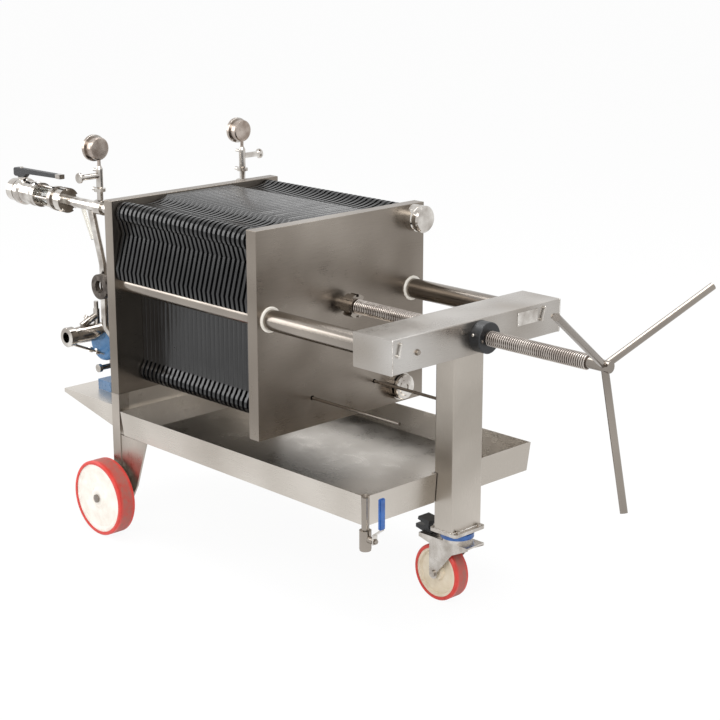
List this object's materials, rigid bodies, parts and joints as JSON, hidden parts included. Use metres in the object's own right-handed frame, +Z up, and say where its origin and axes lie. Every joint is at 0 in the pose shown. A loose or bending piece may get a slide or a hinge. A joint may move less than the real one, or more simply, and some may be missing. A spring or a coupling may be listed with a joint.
{
  "type": "plate filter press",
  "caption": "Three-wheeled stainless plate filter press: black filter plates on side bars, screw clamp with spoked handle, drip tray, pump, valves and gauges.",
  "frame": {"origin": "floor level under the middle of the press's bounding box", "axes": "+X along the press from the pump to the spindle handle, +Y across it, +Z up"},
  "size_m": [1.9319, 0.694, 1.036],
  "materials": {
    "brushed_plate": "satin",
    "brushed_sheet": "satin",
    "polished_bar": "polished",
    "polished_fitting": "polished",
    "thread_steel": "machined",
    "zinc_steel": "satin",
    "black_polymer": "matte",
    "black_noryl": "gloss",
    "white_nylon": "matte",
    "red_tread": "satin",
    "blue_plastic": "satin",
    "blue_enamel": "gloss",
    "clear_glass": "clear",
    "clear_tube": "clear"
  },
  "bodies": {
    "frame": {"fixed_end_plate": "brushed_plate", "rear_legs": "brushed_sheet", "leg_cross_member": "brushed_sheet", "pump_shelf": "brushed_sheet", "side_bars": "polished_bar", "guide_rods": "polished_bar", "cross_beam": "brushed_plate", "nut_collar": "black_polymer", "front_column": "brushed_plate", "drip_tray": "brushed_sheet", "drain_pipe": "polished_bar", "drain_valve_body": "polished_bar", "filter_plates": "black_noryl", "rear_axles": "polished_bar", "caster_plate": "zinc_steel", "swivel_seal": "blue_plastic", "outlet_pipe": "polished_fitting", "union_nut": "polished_fitting", "union_liner": "polished_fitting", "sight_glass_cage": "polished_fitting", "sight_glass": "clear_glass", "outlet_valve_body": "polished_fitting", "collector_pipes": "polished_fitting", "bleed_tube": "clear_tube", "pump_head": "polished_fitting", "pump_motor": "blue_enamel", "inlet_pipe": "polished_fitting", "gauge_tees": "polished_fitting", "pressure_gauges": "polished_fitting", "eye_rings": "polished_bar"},
    "moving_plate": {"moving_end_plate": "brushed_plate", "bar_bushings": "white_nylon", "port_caps": "polished_fitting", "thrust_socket": "polished_bar", "ring_nut": "polished_bar"},
    "spindle": {"clamp_screw": "thread_steel", "star_handle": "polished_bar"},
    "wheel_near": {"rear_tread_near": "red_tread", "rear_core_near": "white_nylon"},
    "wheel_far": {"rear_tread_far": "red_tread", "rear_core_far": "white_nylon"},
    "caster": {"caster_fork": "zinc_steel", "brake_pedal": "black_polymer"},
    "caster_wheel": {"caster_tread": "red_tread", "caster_core": "white_nylon"},
    "drain_lever": {"drain_valve_lever": "blue_plastic"},
    "outlet_lever": {"outlet_valve_lever": "black_polymer"}
  },
  "joints": [
    {"name": "plate_slide", "type": "slide", "parent": "frame", "child": "moving_plate", "axis": [1, 0, 0], "range_m": [0, 0.25]},
    {"name": "spindle_turn", "type": "hinge", "parent": "moving_plate", "child": "spindle", "pos_m": [0.531, 0, 0.669], "axis": [1, 0, 0], "range_deg": [0, 15000]},
    {"name": "rear_wheel_near_roll", "type": "hinge", "parent": "frame", "child": "wheel_near", "pos_m": [-0.498, -0.316, 0.1], "axis": [0, 1, 0], "continuous": true},
    {"name": "rear_wheel_far_roll", "type": "hinge", "parent": "frame", "child": "wheel_far", "pos_m": [-0.498, 0.316, 0.1], "axis": [0, 1, 0], "continuous": true},
    {"name": "caster_swivel", "type": "hinge", "parent": "frame", "child": "caster", "pos_m": [0.468, 0, 0.17], "axis": [0, 0, 1], "continuous": true},
    {"name": "caster_roll", "type": "hinge", "parent": "caster", "child": "caster_wheel", "pos_m": [0.419, 0, 0.07], "axis": [0, 1, 0], "continuous": true},
    {"name": "drain_lever_turn", "type": "hinge", "parent": "frame", "child": "drain_lever", "pos_m": [0.44, -0.276, 0.232], "axis": [1, 0, 0], "range_deg": [0, 90]},
    {"name": "outlet_lever_turn", "type": "hinge", "parent": "frame", "child": "outlet_lever", "pos_m": [-0.923, -0.24, 0.9], "axis": [0, 0, 1], "range_deg": [-90, 0]}
  ],
  "couplings": [
    {"joint": "spindle_turn", "follows": "plate_slide", "rad_per_m": 1047.2}
  ]
}
